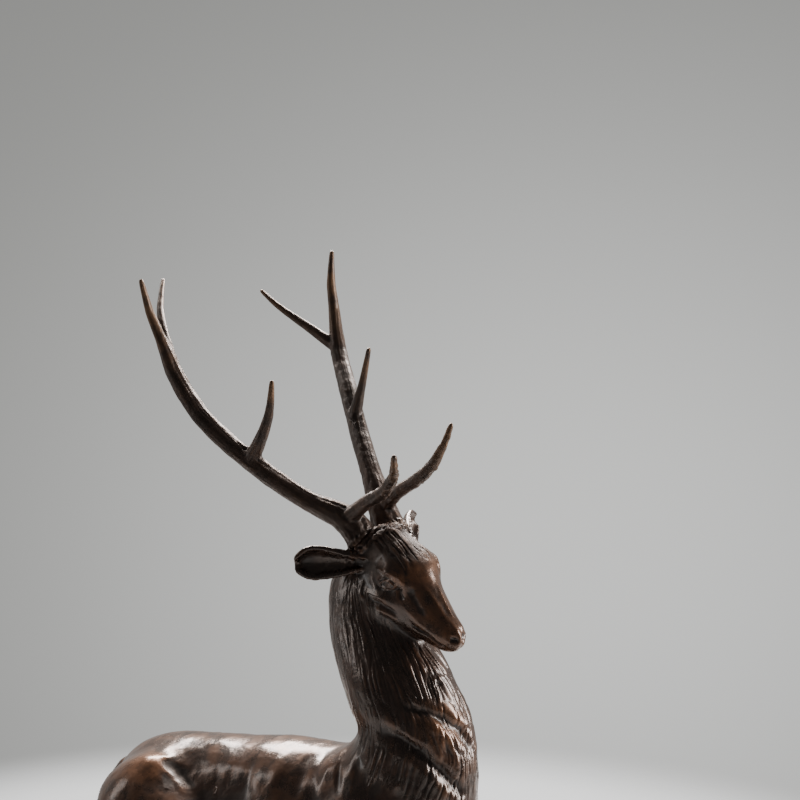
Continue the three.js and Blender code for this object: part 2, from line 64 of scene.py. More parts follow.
# The head's own frame: forward to the nose, to its left, and up off the brow
HEAD = np.array([302, -30, 712.0])
FORWARD = np.array([0.718, -0.163, -0.68])
FORWARD /= np.linalg.norm(FORWARD)
UP = np.cross(FORWARD, [0.418, 0.876, 0.23])
UP /= np.linalg.norm(UP)
LEFT = np.cross(UP, FORWARD)
HEAD_AXES = np.array([FORWARD, LEFT, UP])


def on_head(points):
    return (points - HEAD) @ HEAD_AXES.T


def off_head(points):
    return np.asarray(points, float) @ HEAD_AXES + HEAD


# Numbers
def step(t):
    t = np.clip(t, 0, 1)
    return t * t * (3 - 2 * t)


def between(x, low, high, soft):
    """1 inside a range, with soft ends outside it."""
    return step((x - low) / soft + 1) * step((high - x) / soft + 1)


def noise(points, seed=0):
    """Smooth noise, about -1 to 1, with a unit cell."""
    cell = np.floor(points).astype(np.int64)
    f = points - cell
    f = f * f * f * (f * (f * 6 - 15) + 10)
    total = np.zeros(len(points))
    for corner in itertools.product((0, 1), repeat=3):
        x, y, z = (cell + corner).T
        h = (x * 73856093) ^ (y * 19349663) ^ (z * 83492791) ^ (seed * 40503 + 977)
        h = ((h ^ (h >> 13)) * 1274126177) & 0xFFFFFFFF
        h = ((h ^ (h >> 15)) * 668265263) & 0xFFFFFFFF
        weight = np.prod(np.where(corner, f, 1 - f), axis=1)
        total += weight * (h / 0x7FFFFFFF - 1)
    return total


def columns(*values):
    return np.stack(np.broadcast_arrays(*values), axis=1).astype(float)


def along(points, path):
    """Distance from a path, and the share of the path at which each point is nearest."""
    path = np.asarray(path, float)
    lengths = np.linalg.norm(np.diff(path, axis=0), axis=1)
    nearest = np.full(len(points), np.inf)
    share = np.zeros(len(points))
    start = 0.0
    for a, b, n in zip(path, path[1:], lengths):
        t = np.clip((points - a) @ (b - a) / n**2, 0, 1)
        d = np.linalg.norm(points - a - t[:, None] * (b - a), axis=1)
        closer = d < nearest
        nearest[closer] = d[closer]
        share[closer] = (start + t[closer] * n) / lengths.sum()
        start += n
    return nearest, share


def stroke(points, path, width, height, ends=0.25):
    """A ridge, or a groove where the height is negative, that fades out at both ends."""
    d, s = along(points, path)
    return height * np.exp(-((d / width) ** 2)) * step(s / ends) * step((1 - s) / ends)


def dab(points, centre, radius, height):
    d = np.linalg.norm((points - np.asarray(centre, float)) / np.asarray(radius, float), axis=1)
    return height * np.exp(-(d**2))


# Meshes
def coordinates(mesh):
    co = np.empty(len(mesh.vertices) * 3, np.float32)
    mesh.vertices.foreach_get("co", co)
    return co.reshape(-1, 3).astype(float)


def set_coordinates(mesh, co):
    mesh.vertices.foreach_set("co", np.ascontiguousarray(co, np.float32).ravel())
    mesh.update()


def normals(mesh):
    n = np.empty(len(mesh.vertices) * 3, np.float32)
    mesh.vertex_normals.foreach_get("vector", n)
    return n.reshape(-1, 3).astype(float)


def edges(mesh):
    e = np.empty(len(mesh.edges) * 2, np.int32)
    mesh.edges.foreach_get("vertices", e)
    return e.reshape(-1, 2)


def averaged(values, pairs):
    """Each point's mean over its neighbours."""
    n = len(values)
    a, b = pairs.T
    count = np.bincount(pairs.ravel(), minlength=n)[:, None]
    total = [np.bincount(a, v[b], n) + np.bincount(b, v[a], n) for v in values.T]
    return np.stack(total, axis=1) / np.maximum(count, 1)


def settled(values, pairs, rounds, back=-0.53):
    """Values smoothed without shrinking."""
    for _ in range(rounds):
        for pull in (0.5, back):
            values = values + pull * (averaged(values, pairs) - values)
    return values


def baked(obj):
    """Applies an object's modifiers."""
    mesh = bpy.data.meshes.new_from_object(obj.evaluated_get(bpy.context.evaluated_depsgraph_get()))
    obj.modifiers.clear()
    old = obj.data
    obj.data = mesh
    bpy.data.meshes.remove(old)


# Mesh sizes in metres, and how many triangles each piece keeps
STAG_VOXEL, STAG_FACES = 0.0024, 196000
ANTLER_VOXEL, ANTLER_FACES = 0.0018, 90000
BASE_VOXEL, BASE_FACES = 0.004, 60000
# Edges bent by more than this, in radians, stay sharp round flat faces and round the antlers' seats
RIM_BEND = 0.5
SEAT_BEND = 0.9


def bend(edge):
    """The angle between an edge's two faces, or 0 where it hasn't two."""
    faces = edge.link_faces
    return faces[0].normal.angle(faces[1].normal, 0) if len(faces) == 2 else 0


def smooth_copy(node, name, voxel, rounds, hard):
    """A rounded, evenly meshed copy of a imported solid. Edges that hard(edge) picks stay sharp."""
    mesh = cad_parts[node].data.copy()
    mesh.materials.clear()
    obj = bpy.data.objects.new(name, mesh)
    bpy.context.scene.collection.objects.link(obj)
    bm = bmesh.new()
    bm.from_mesh(mesh)
    bmesh.ops.remove_doubles(bm, verts=bm.verts, dist=2e-5)
    crease = bm.edges.layers.float.get("crease_edge") or bm.edges.layers.float.new("crease_edge")
    for e in bm.edges:
        if hard(e):
            e[crease] = 1
    bmesh.ops.join_triangles(
        bm,
        faces=bm.faces[:],
        angle_face_threshold=math.radians(20),
        angle_shape_threshold=math.radians(50),
    )
    bm.to_mesh(mesh)
    bm.free()
    obj.modifiers.new("round", "SUBSURF").levels = 2
    remesh = obj.modifiers.new("even", "REMESH")
    remesh.mode = "VOXEL"
    remesh.voxel_size = voxel
    baked(obj)
    set_coordinates(obj.data, settled(coordinates(obj.data), edges(obj.data), rounds))
    brought_out(obj.data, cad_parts[node].data)
    return obj


def brought_out(mesh, solid):
    """Undoes what rounding took off: moves the surface back to the solid's, on average."""
    tree = BVHTree.FromPolygons([v.co for v in solid.vertices], [f.vertices for f in solid.polygons])
    co, n, pairs = coordinates(mesh), normals(mesh), edges(mesh)
    nearest = np.array([tree.find_nearest(c)[0] for c in co])
    gap = np.sum((nearest - co) * n, axis=1)[:, None]
    for _ in range(24):
        gap = averaged(gap, pairs)
    set_coordinates(mesh, co + n * gap)


def refined(obj, wanted):
    """Halves the edges whose middles are wanted(points), and divides the faces round them."""
    mesh = obj.data
    bm = bmesh.new()
    bm.from_mesh(mesh)
    middles = np.array([(e.verts[0].co + e.verts[1].co) / 2 for e in bm.edges])
    inside = wanted(to_drawn(middles))
    chosen = [e for e, ok in zip(bm.edges, inside) if ok]
    bmesh.ops.subdivide_edges(bm, edges=chosen, cuts=1, use_grid_fill=True)
    bm.to_mesh(mesh)
    bm.free()


def thinned(obj, faces):
    mesh = obj.data
    mesh.calc_loop_triangles()
    if len(mesh.loop_triangles) > faces:
        modifier = obj.modifiers.new("thin", "DECIMATE")
        modifier.ratio = faces / len(mesh.loop_triangles)
        baked(obj)


def add_attribute(mesh, name, values):
    layer = mesh.attributes.new(name, "FLOAT", "POINT")
    layer.data.foreach_set("value", np.asarray(values, np.float32))


def relief_attributes(obj, rounds):
    """Marks what stands proud and what lies in a hollow, for the patina."""
    mesh = obj.data
    co, n, pairs = coordinates(mesh), normals(mesh), edges(mesh)
    soft = co
    for _ in range(rounds):
        soft = averaged(soft, pairs)
    height = np.sum((co - soft) * n, axis=1) / MM
    fine = averaged(height[:, None], pairs)[:, 0] * (1 - 0.8 * on_ears(on_head(to_drawn(co))))
    add_attribute(mesh, "proud", np.clip(fine / 0.5, -1, 1))


def smooth_shaded(obj):
    obj.data.polygons.foreach_set("use_smooth", np.ones(len(obj.data.polygons), bool))
    obj.data.update()


# Sculpting: each form below gives a height in millimetres for points in the drawn frame

# The neck's middle line: height, x, y
NECK = np.array(
    [
        [40, 236, 0], [130, 262, 0], [225, 276, 0], [286, 280, 0], [340, 288, -1], [395, 297, -2],
        [451, 289, -5], [507, 264, -7], [562, 237, -6], [625, 202, -2], [674, 193, -2], [745, 208, -8],
    ]
)


def neck_angle(p):
    """Angle round the neck: 0 in front, positive on its left."""
    cx, cy = (np.interp(p[:, 2], NECK[:, 0], NECK[:, k]) for k in (1, 2))
    return np.arctan2(p[:, 1] - cy, p[:, 0] - cx)


def strands(across, down, width, length, seed):
    """Long locks with sharp valleys: 0 in the valleys, 1 on the crests."""
    sway = noise(columns(across / (5 * width), down / length, 3.7), seed + 5) * 0.9 * width
    value = noise(columns((across + sway) / width, down / length, 0.5), seed)
    return np.minimum(1, 2.2 * np.abs(value)) ** 0.7


def neck_hair(p, q):
    """The mane: locks down the neck that end over the shoulder and chest."""
    angle = neck_angle(p)
    z = p[:, 2]
    fan = angle * 100 + 14 * noise(columns(angle * 2.2, z / 120, 0.3), 11)
    lean = np.sin(angle) * (z - 480) * 0.10
    a = fan + lean
    side = np.abs(angle)
    end = 246 + 86 * step((side - 0.5) / 0.9) + 62 * step((side - 1.7) / 0.8)
    end = end + 16 * noise(columns(a / 16, 0.2, 0.7), 21)
    head_off = step((np.linalg.norm((q - [-10, 0, -20]) / [150, 66, 78], axis=1) - 1) / 0.12)
    within = step((z - end) / 22) * head_off * step((770 - z) / 30)
    front = np.exp(-(((side - 0.2) / 1.1) ** 2))
    rough = 0.4 + 0.6 * front + 0.4 * step((430 - z) / 60) * step((side - 0.9) / 0.6)
    locks = strands(a, z, 15, 74, 30)
    fine = strands(a, z, 7, 46, 41)
    finest = strands(a, z, 3.6, 30, 54)
    return within * (rough * (2.0 * locks + 1.7 * fine + 0.9 * finest - 3.0) + 1.6)


# The two creases across the throat, from the right side to the front
CREASE_ONE = [[327, -90, 479], [365, -70, 468], [388, -49, 454], [405, -20, 428], [411, -7, 407]]
CREASE_TWO = [
    [291, -99, 433], [323, -97, 422], [356, -87, 402], [377, -74, 379], [394, -59, 359], [407, -38, 332],
    [410, -22, 312],
]


def lifted(path, by):
    return [[x, y, z + by] for x, y, z in path]


def neck_folds(p):
    """Each crease, with a ridge over it and a broader one under it."""
    height = stroke(p, CREASE_ONE, 6, -7, 0.2) + stroke(p, lifted(CREASE_ONE, 12), 9, 4, 0.3)
    height += stroke(p, lifted(CREASE_ONE, -18), 16, 3, 0.3)
    height += stroke(p, CREASE_TWO, 7, -8, 0.2) + stroke(p, lifted(CREASE_TWO, 14), 10, 4, 0.3)
    height += stroke(p, lifted(CREASE_TWO, -20), 16, 3, 0.3)
    return height


# Cosine and sine of the eye's slant in the head's frame
SLANT_COS, SLANT_SIN = 0.773, 0.635


def eye_height(q):
    """Eyeball, lids and the crease over them, in the plane of the eye: x along it and y across."""
    a, u = q[:, 0] - 6, q[:, 2] + 6.5
    x = SLANT_COS * a + SLANT_SIN * u
    y = -SLANT_SIN * a + SLANT_COS * u
    reach = 17.0
    arch = np.clip(1 - (x / reach) ** 2, 0, 1)
    upper, lower = 7.0 * arch, -5.0 * arch
    near = between(x, -reach, reach, 6) * step((q[:, 1] - 28) / 6)
    open_ = (y < upper) & (y > lower)
    height = np.where(open_, 2.4 * np.sqrt(np.clip(1 - (x / 15) ** 2 - ((y - 1) / 9) ** 2, 0, 1)) - 1.2, 0)
    height += 2.6 * np.exp(-(((y - upper - 2.2) / 2.0) ** 2))
    height += -2.0 * np.exp(-(((y - upper - 6.6) / 1.9) ** 2))
    height += 1.8 * np.exp(-(((y - lower + 1.8) / 1.7) ** 2))
    height += -1.2 * np.exp(-(((y - lower + 5.4) / 2.0) ** 2))
    tear = stroke(columns(x, y, 0), [[15, -1, 0], [22, -5, 0], [33, -8, 0]], 2.4, -2.4, 0.3)
    return height * near + tear * step((q[:, 1] - 22) / 6)


# Ridges and hollows of the head, on both sides: path [forward, left, up], width, height
HEAD_STROKES = [
    # brow, tear hollow and the folds under the eye
    ([[-38, 52, -5], [-11, 53, 15], [5, 49, 23], [17, 44, 26], [29, 42, 21], [42, 40, 8]], 5, 3.2),
    ([[22, 50, 8], [34, 46, 0], [47, 44, -8]], 5, -4.0),
    ([[-36, 62, -20], [-14, 60, -22], [8, 57, -20]], 5, -2.2),
    ([[-29, 67, -54], [-10, 66, -44], [11, 63, -31], [28, 58, -27]], 6, 2.6),
    ([[-44, 70, -42], [-30, 70, -36], [-14, 66, -30]], 6, -2.0),
    ([[-53, 69, -60], [-33, 72, -64], [-10, 72, -66]], 7, 2.4),
    ([[-6, 69, -58], [14, 65, -44], [34, 58, -40], [56, 50, -38]], 5, -2.4),
    ([[10, 67, -60], [29, 61, -52], [48, 53, -50], [68, 47, -52]], 7, 2.8),
    # nose
    ([[36, 37, 22], [55, 34, 10], [76, 32, 3], [101, 29, 0]], 7, -2.8),
    ([[45, 18, 33], [63, 13, 29], [83, 10, 25], [105, 8, 19], [131, 7, 15]], 4.5, 1.8),
    ([[44, 44, -14], [66, 38, -18], [92, 32, -20], [118, 26, -16], [138, 21, -10]], 6, 2.2),
    ([[58, 46, -30], [82, 39, -33], [108, 31, -29], [132, 25, -22]], 5, -1.6),
    # mouth and chin
    ([[164, 4, -20], [151, 24, -17], [123, 32, -23], [98, 37, -33], [75, 44, -37]], 2.2, -3.6),
    ([[141, 20, -37], [111, 28, -48], [88, 34, -52]], 5, 1.6),
    # nostril rim
    ([[150, 14, 10], [159, 17, 11], [167, 16, 6]], 3.0, 1.8),
    ([[150, 18, 2], [157, 20, -4], [165, 17, -6]], 3.0, 1.6),
]


def head_forms(q):
    """The forms of the face, the same on both sides, for points near the head."""
    m = q.copy()
    m[:, 1] = np.abs(m[:, 1])
    near = np.linalg.norm(q, axis=1) < 240
    height = np.zeros(len(q))
    m = m[near]
    h = eye_height(m)
    for path, width, tall in HEAD_STROKES:
        h += stroke(m, path, width, tall, 0.3)
    nostril = dab(m, [161, 12, 3], [6, 6, 4.5], -5.5)
    lip_groove = dab(m, [170, 0, -8], [6, 2.0, 10], -1.4)
    h += nostril
    h += lip_groove
    height[near] = h
    return height


def forehead_tuft(p, q):
    """Locks that fall from between the burrs on to the brow, and the rough collar round the pedicles."""
    a, l, u = q.T
    spread = l * (1 - 0.0022 * (a + 80))
    zone = between(a, -86, 12, 20) * step((u - 6) / 12) * step((44 - np.abs(l)) / 12)
    ragged = step((18 - a + 22 * noise(columns(l / 9, 0.1, 0.6), 61)) / 12)
    locks = strands(spread, a, 9, 60, 70)
    fine = strands(spread, a, 4.0, 34, 83)
    height = zone * ragged * (2.4 * locks + 1.8 * fine - 2.2)
    collar = np.zeros(len(p))
    for seat in ([-92, -33, -16], [-92, 33, -16], [-90, 0, 6]):
        d = np.linalg.norm((q - seat) / [19, 41, 41], axis=1)
        collar = np.maximum(collar, step((1.25 - d) / 0.35))
    rough = noise(p / 9, 91) + 0.8 * noise(p / 4.5, 92)
    between_burrs = dab(q, [-88, 0, 22], [26, 24, 22], 9)
    return height * (1 - 0.7 * collar) + collar * (3.0 * rough + 0.8) + between_burrs


# Folds over the hip and the hollow between them, drawn on the right side: path, width, height
HIP_STROKES = [
    ([[-222, -109, 325], [-214, -95, 325], [-186, -92, 318], [-147, -94, 312]], 8, 2.4),
    ([[-212, -118, 315], [-191, -116, 300], [-167, -119, 284], [-135, -126, 262]], 8, 2.4),
    ([[-204, -108, 322], [-165, -106, 300], [-130, -112, 276]], 8, -5),
]
# Broad ridges and hollows from the loin to the shoulder, drawn on the right side: path, width, height
BODY_STROKES = [
    ([[48, -40, 365], [50, -90, 325], [46, -122, 282]], 15, 2.6),
    ([[98, -40, 372], [102, -85, 340], [104, -124, 290]], 14, -3.4),
    ([[146, -40, 376], [152, -88, 345], [158, -124, 295], [166, -138, 240]], 14, 3.0),
    ([[190, -52, 388], [188, -90, 352], [198, -118, 306]], 8, -3.0),
    ([[216, -60, 392], [214, -92, 366], [222, -108, 330]], 10, 2.6),
    ([[-8, -60, 352], [-12, -104, 305], [-18, -128, 262]], 16, -2.2),
    ([[-66, -50, 352], [-70, -96, 312], [-76, -122, 274]], 15, 1.6),
]


def body_forms(p):
    """Hip, ribs and shoulder on both sides, and the unevenness of the modelling."""
    x, y, z = p.T
    height = np.zeros(len(p))
    for side in (-1, 1):
        m = columns(x, -side * y, z)
        for path, width, tall in HIP_STROKES:
            height += stroke(m, path, width, tall, 0.3)
        height += dab(m, [-237, -118, 318], [20, 16, 14], 2.5)
        for path, width, tall in BODY_STROKES:
            height += stroke(m, path, width, tall, 0.35)
    broad = noise(p / 46, 101) + 0.5 * noise(p / 21, 102)
    tooled = noise(columns(x / 9, y / 9, z / 26), 103)
    above = step((z - 30) / 30)
    return height + above * (0.9 * broad + 0.25 * tooled)


# The folded upper edge of the right ear
EAR_LIP = [[200, -76, 738], [174, -72, 741], [154, -83, 747], [132, -97, 751]]
# Each ear's root and the way it points, in the head's frame
EARS = [([-60, -44, -20], [-0.52, -0.8, -0.32]), ([-60, 44, -20], [-0.58, 0.72, -0.37])]


def on_ears(q):
    """1 on the ears, 0 off them."""
    share = np.zeros(len(q))
    for root, way in EARS:
        run = (q - root) @ way
        off = np.linalg.norm(q - root - run[:, None] * np.array(way), axis=1)
        share = np.maximum(share, step((run - 22) / 20) * step((52 - off) / 10) * step((170 - run) / 10))
    return share


def sculpt_stag(obj):
    """Carves every form into the mesh, but not into its flat underside."""
    mesh = obj.data
    p, n = to_drawn(coordinates(mesh)), normals(mesh)
    q = on_head(p)
    height = neck_hair(p, q) + neck_folds(p) + head_forms(q) + forehead_tuft(p, q)
    height += body_forms(p) * body_share(p)
    throat_lump = dab(p, [361, -33, 525], [7, 7, 5], 4.5) + dab(p, [362, -34, 515], [6, 6, 3], -3)
    height += throat_lump
    height += stroke(p, EAR_LIP, 6, 3.2, 0.3)
    height *= step((p[:, 2] - 2) / 12)
    set_coordinates(mesh, to_world(p + n * height[:, None]))


def body_share(p):
    """1 on the body, less on the neck and head, which have forms of their own."""
    return 1 - 0.75 * step((p[:, 2] - 400) / 60)


def finely_worked(p):
    """The head, and the neck down to the mane's end."""
    on_face = np.linalg.norm((on_head(p) - [40, 0, -20]) / [160, 84, 84], axis=1) < 1
    angle = neck_angle(p)
    return on_face | ((p[:, 2] > 250) & (p[:, 0] > 130) & (np.abs(angle) < 2.4) & (p[:, 2] < 760))


def cast_stag():
    """The carved figure without its antlers."""

    def hard(e):
        if all(v.co.z < stag_low.z + 0.001 for v in e.verts) and bend(e) > RIM_BEND:
            return True
        q = on_head(to_drawn(np.array([v.co for v in e.verts])))
        near_seats = np.all(np.linalg.norm(q - [-101, 0, -17], axis=1) < 75)
        return bool(near_seats and bend(e) > SEAT_BEND)

    obj = smooth_copy("stag", "stag_cast", STAG_VOXEL, 6, hard)
    refined(obj, finely_worked)
    sculpt_stag(obj)
    thinned(obj, STAG_FACES)
    relief_attributes(obj, 6)
    smooth_shaded(obj)
    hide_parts("stag")
    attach(obj, "root")
    return obj


# Antlers: middle lines [forward, left, up, radius] in the head's frame, the beam first
ANTLERS = {
    "right_antler": [
        [
            [-104, -34, -16, 29], [-130, -36, -5, 31], [-162, -52, 3, 26], [-218, -84, -7, 20],
            [-352, -138, -12, 19.5], [-483, -179, 0, 19], [-584, -191, 31, 17],
            [-635, -195, 64, 11.5], [-680, -205, 103, 9], [-711, -216, 160, 5],
        ],
        [
            [-150, -46, 2, 18], [-127, -38, 72, 14.5], [-98, -35, 133, 12.5], [-80, -45, 197, 10],
            [-78, -66, 258, 5.5],
        ],
        [[-353, -138, -12, 18], [-352, -129, 30, 14], [-361, -116, 99, 9.5], [-382, -113, 165, 5]],
        [[-582, -191, 32, 15], [-650, -180, 58, 11], [-727, -151, 58, 7.5], [-805, -104, 56, 4.5]],
    ],
    "left_antler": [
        [
            [-104, 34, -18, 29], [-132, 35, -8, 30], [-173, 41, 5, 25], [-223, 57, 9, 21],
            [-296, 82, 10, 20], [-429, 132, 14, 19.5],
            [-540, 176, 16, 17.5], [-616, 201, 57, 12], [-653, 206, 94, 10], [-692, 217, 150, 5],
        ],
        [
            [-150, 38, 4, 17], [-131, 36, 65, 14.5], [-105, 39, 121, 13], [-85, 47, 185, 11.5],
            [-87, 58, 233, 8], [-97, 67, 273, 5],
        ],
        [[-360, 103, 8, 15], [-368, 105, 45, 12], [-376, 108, 92, 8.5], [-394, 112, 172, 5]],
        [[-551, 180, 14, 14], [-635, 151, 11, 10], [-712, 122, 11, 6.5], [-754, 111, 15, 4.5]],
    ],
}
# Keeps the grain of one branch apart from the next one's
BRANCH_STEP = 1000


def antler_frame(q, branches):
    """The nearest middle point for each point, and the branch's direction, run, radius and share there."""
    nearest = np.full(len(q), np.inf)
    middle, way = np.zeros((len(q), 3)), np.zeros((len(q), 3))
    run, radius, share = np.zeros(len(q)), np.zeros(len(q)), np.zeros(len(q))
    for b, stations in enumerate(branches):
        s = np.array(stations, float)
        lengths = np.linalg.norm(np.diff(s[:, :3], axis=0), axis=1)
        start = 0.0
        for i, n in enumerate(lengths):
            a, c = s[i, :3], s[i + 1, :3]
            t = np.clip((q - a) @ (c - a) / n**2, 0, 1)
            at = a + t[:, None] * (c - a)
            r = s[i, 3] + t * (s[i + 1, 3] - s[i, 3])
            d = np.linalg.norm(q - at, axis=1) - r
            closer = d < nearest
            nearest[closer], middle[closer], radius[closer] = d[closer], at[closer], r[closer]
            way[closer] = (c - a) / n
            run[closer] = start + t[closer] * n + BRANCH_STEP * b
            share[closer] = (start + t[closer] * n) / lengths.sum()
            start += n
    return middle, way, run, radius, share


def cast_antler(node):
    """The grooved antler, with a knobbly burr and a flat seat."""
    side = -1 if node == "right_antler" else 1
    seat = np.array([-101, side * 34, -17.0])
    out = np.array([-100, side * 30, 15.0])
    out /= np.linalg.norm(out)

    def hard(e):
        q = on_head(to_drawn(np.array([v.co for v in e.verts])))
        return bool(bend(e) > SEAT_BEND and np.all((q - seat) @ out < 3))

    obj = smooth_copy(node, node + "_cast", ANTLER_VOXEL, 8, hard)
    mesh = obj.data
    p, n = to_drawn(coordinates(mesh)), normals(mesh)
    q = on_head(p)
    middle, way, run, radius, share = antler_frame(q, ANTLERS[node])
    helper = np.cross(way, [0.2, 0.3, 0.93])
    helper /= np.linalg.norm(helper, axis=1)[:, None]
    other = np.cross(way, helper)
    arm = q - middle
    angle = np.arctan2(np.sum(arm * other, axis=1), np.sum(arm * helper, axis=1))
    turn = columns(np.cos(angle) * 2.6, np.sin(angle) * 2.6, run / 70)
    grooves = 1 - np.abs(noise(turn, 7)) ** 0.6 + 0.6 * (1 - np.abs(noise(turn * [1.9, 1.9, 1.4], 8)) ** 0.6)
    lumps = noise(p / 11, 9) + 0.5 * noise(p / 5.5, 10)
    depth = np.clip(radius / 18, 0.15, 1.2) * (1 - 0.75 * step((share - 0.72) / 0.25))
    height = depth * (0.5 - 1.3 * (grooves - 0.6)) + 0.35 * depth * lumps
    near_seat = (q - seat) @ out
    burr = np.exp(-(((near_seat - 8) / 8) ** 2))
    height += burr * (2.4 * noise(p / 7, 12) + 1.0 * noise(p / 3.6, 13) + 0.4)
    height += np.exp(-(((near_seat - 34) / 24) ** 2)) * (0.9 * noise(p / 8, 14))
    height *= step(near_seat / 3)
    set_coordinates(mesh, to_world(p + n * height[:, None]))
    thinned(obj, ANTLER_FACES)
    relief_attributes(obj, 5)
    add_tip(obj, node)
    smooth_shaded(obj)
    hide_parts(node)
    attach(obj, "root")
    return obj


def add_tip(obj, node):
    """Where hands have rubbed the tips to gold brown."""
    q = on_head(to_drawn(coordinates(obj.data)))
    share = antler_frame(q, ANTLERS[node])[4]
    add_attribute(obj.data, "tip", step((share - 0.62) / 0.38))


def cast_base():
    """The slab, with an uneven top and edge."""
    _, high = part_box("base")
    obj = smooth_copy("base", "base_cast", BASE_VOXEL, 1, lambda e: bend(e) > RIM_BEND)
    mesh = obj.data
    co, n = coordinates(mesh), normals(mesh)
    p = co / MM
    top = step((co[:, 2] - high.z + 12 * MM) / 0.008)
    lumps = 0.5 * noise(p / 38, 111) + 0.35 * noise(p / 15, 112) + 0.2 * noise(p / 6, 113)
    drop = (1.4 + 1.4 * lumps) * MM * step((n[:, 2] + 0.2) / 0.4) * top
    side = (0.4 + 0.8 * noise(p / [20, 20, 12], 114)) * MM
    side *= step((0.6 - np.abs(n[:, 2])) / 0.3)
    co -= n * side[:, None]
    co[:, 2] -= np.clip(drop, 0, None)
    set_coordinates(mesh, co)
    thinned(obj, BASE_FACES)
    relief_attributes(obj, 5)
    smooth_shaded(obj)
    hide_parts("base")
    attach(obj, "root")
    return obj


# Materials
class Nodes:
    """Short forms for building a node tree."""

    def __init__(self, material):
        material.use_nodes = True
        self.tree = material.node_tree
        self.tree.nodes.clear()

    def add(self, kind, inputs=None, **settings):
        node = self.tree.nodes.new(kind)
        for key, value in settings.items():
            setattr(node, key, value)
        for key, value in (inputs or {}).items():
            self.plug(node.inputs[key], value)
        return node

    def plug(self, socket, value):
        if isinstance(value, bpy.types.NodeSocket):
            self.tree.links.new(value, socket)
        else:
            socket.default_value = value

    def math(self, operation, a, b=0.0, clamp=False):
        return self.add("ShaderNodeMath", {0: a, 1: b}, operation=operation, use_clamp=clamp).outputs[0]

    def noise(self, where, scale, detail=3.0, rough=0.5):
        inputs = {"Vector": where, "Scale": scale, "Detail": detail, "Roughness": rough}
        return self.add("ShaderNodeTexNoise", inputs).outputs["Fac"]

    def ramp(self, value, low, high):
        """0 at low and 1 at high, smooth between them."""
        inputs = {0: value, 1: low, 2: high, 3: 0.0, 4: 1.0}
        return self.add("ShaderNodeMapRange", inputs, interpolation_type="SMOOTHSTEP").outputs[0]

    def bump(self, height, strength, distance, over=None):
        inputs = {"Strength": strength, "Distance": distance, "Height": height}
        if over is not None:
            inputs["Normal"] = over
        return self.add("ShaderNodeBump", inputs).outputs["Normal"]

    def mix(self, share, a, b):
        node = self.add("ShaderNodeMix", data_type="RGBA")
        for socket, value in ((node.inputs[0], share), (node.inputs[6], a), (node.inputs[7], b)):
            self.plug(socket, value)
        return node.outputs[2]


def rgb(r, g, b):
    return (r, g, b, 1.0)


# Each patina's colour in its dark patches, over the rest, and where it's rubbed
STAG_COLOURS = [(0.033, 0.021, 0.016), (0.070, 0.038, 0.026), (0.18, 0.08, 0.036)]
ANTLER_COLOURS = [(0.032, 0.021, 0.016), (0.064, 0.037, 0.026), (0.17, 0.09, 0.044)]
BASE_COLOURS = [(0.024, 0.018, 0.016), (0.042, 0.028, 0.022), (0.10, 0.055, 0.03)]
HOLLOW_COLOUR = (0.008, 0.006, 0.006)


